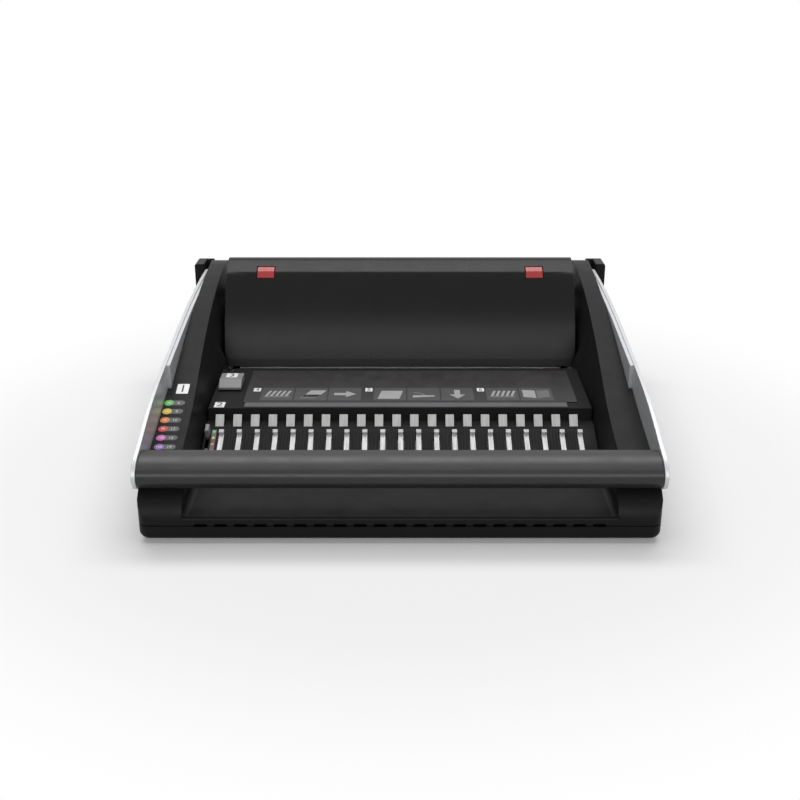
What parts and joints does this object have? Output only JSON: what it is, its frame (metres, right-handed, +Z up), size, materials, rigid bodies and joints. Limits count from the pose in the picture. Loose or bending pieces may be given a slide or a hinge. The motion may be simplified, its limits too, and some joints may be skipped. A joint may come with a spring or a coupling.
{
  "type": "comb binding machine",
  "caption": "Desktop comb binding machine: a full-width handle swings up on two side arms, drives a row of punches and opens plastic combs on a rack of tines.",
  "frame": {"origin": "middle of the outline on the surface that the feet stand on", "axes": "+Z up, front of the machine towards -Y, +X to the right seen from the front"},
  "size_m": [0.4, 0.37, 0.134],
  "materials": {
    "bar_plastic": "soft satin",
    "black_plastic": "fine satin grain",
    "bronze": "plain",
    "deck_plastic": "matte",
    "grey_plastic": "satin",
    "label": "printed plate",
    "red_plastic": "gloss",
    "rubber": "matte",
    "silver": "satin silver paint",
    "steel": "plain steel",
    "tine_steel": "bright zinc",
    "trim_grey": "satin"
  },
  "bodies": {
    "housing": {"base_tray": "black_plastic", "rubber_feet": "rubber", "base_screws": "steel", "front_ledge": "black_plastic", "side_housing_left": "black_plastic", "side_housing_right": "black_plastic", "pivot_ear_left": "black_plastic", "pivot_ear_right": "black_plastic", "comb_deck": "deck_plastic", "tine_plate": "tine_steel", "instruction_plate": "label", "deck_trim": "trim_grey", "opener_guide_rods": "steel", "front_die_plate": "steel", "rear_guide_plate": "steel", "paper_stop": "steel", "punch_frame_plate_left": "steel", "punch_frame_plate_right": "steel", "shaft_bushes": "bronze", "rear_crossbar": "steel", "punch_guide_rods": "steel", "rear_cover": "black_plastic", "lid_hinge_pins": "steel"},
    "handle": {"handle_arm_left": "silver", "handle_arm_right": "silver", "handle_bar": "bar_plastic", "handle_core_tube": "steel", "cross_shaft": "steel", "punch_cam_left": "steel", "punch_cam_right": "steel", "opener_cam_left": "steel", "opener_cam_right": "steel"},
    "punch": {"punch_bar": "steel", "punch_pins": "steel", "punch_bracket_left": "steel", "punch_bracket_right": "steel"},
    "opener": {"finger_plate": "tine_steel", "opener_drive_bar_left": "steel", "opener_drive_bar_right": "steel"},
    "lid": {"lid": "black_plastic"},
    "latch_left": {"lid_latch_left": "red_plastic"},
    "latch_right": {"lid_latch_right": "red_plastic"},
    "selector": {"comb_size_selector": "grey_plastic"},
    "edge_guide": {"edge_guide_knob": "grey_plastic", "edge_guide_fence": "black_plastic"},
    "chip_tray": {"chip_tray": "black_plastic"}
  },
  "joints": [
    {"name": "handle_swing", "type": "hinge", "parent": "housing", "child": "handle", "pos_m": [0, 0.163, 0.0945], "axis": [-1, 0, 0], "range_deg": [0, 90]},
    {"name": "punch_slide", "type": "slide", "parent": "housing", "child": "punch", "axis": [0, 1, 0], "range_m": [0, 0.012]},
    {"name": "opener_slide", "type": "slide", "parent": "housing", "child": "opener", "axis": [0, -0.9245, -0.3811], "range_m": [0, 0.018]},
    {"name": "lid_hinge", "type": "hinge", "parent": "housing", "child": "lid", "pos_m": [0, 0.177, 0.1155], "axis": [-1, 0, 0], "range_deg": [0, 75]},
    {"name": "latch_press_left", "type": "slide", "parent": "lid", "child": "latch_left", "axis": [0, 0.5736, -0.8192], "range_m": [0, 0.002], "stiffness_N_per_m": 400, "springref_m": -0.001},
    {"name": "latch_press_right", "type": "slide", "parent": "lid", "child": "latch_right", "axis": [0, 0.5736, -0.8192], "range_m": [0, 0.002], "stiffness_N_per_m": 400, "springref_m": -0.001},
    {"name": "selector_slide", "type": "slide", "parent": "housing", "child": "selector", "axis": [0, -0.9245, -0.3811], "range_m": [0, 0.038]},
    {"name": "edge_guide_slide", "type": "slide", "parent": "housing", "child": "edge_guide", "axis": [1, 0, 0], "range_m": [0, 0.0032]},
    {"name": "chip_tray_slide", "type": "slide", "parent": "housing", "child": "chip_tray", "axis": [0, 1, 0], "range_m": [0, 0.15]}
  ],
  "couplings": [
    {"joint": "punch_slide", "follows": "handle_swing", "m_per_rad": 0.0076394},
    {"joint": "opener_slide", "follows": "handle_swing", "m_per_rad": 0.011459}
  ]
}
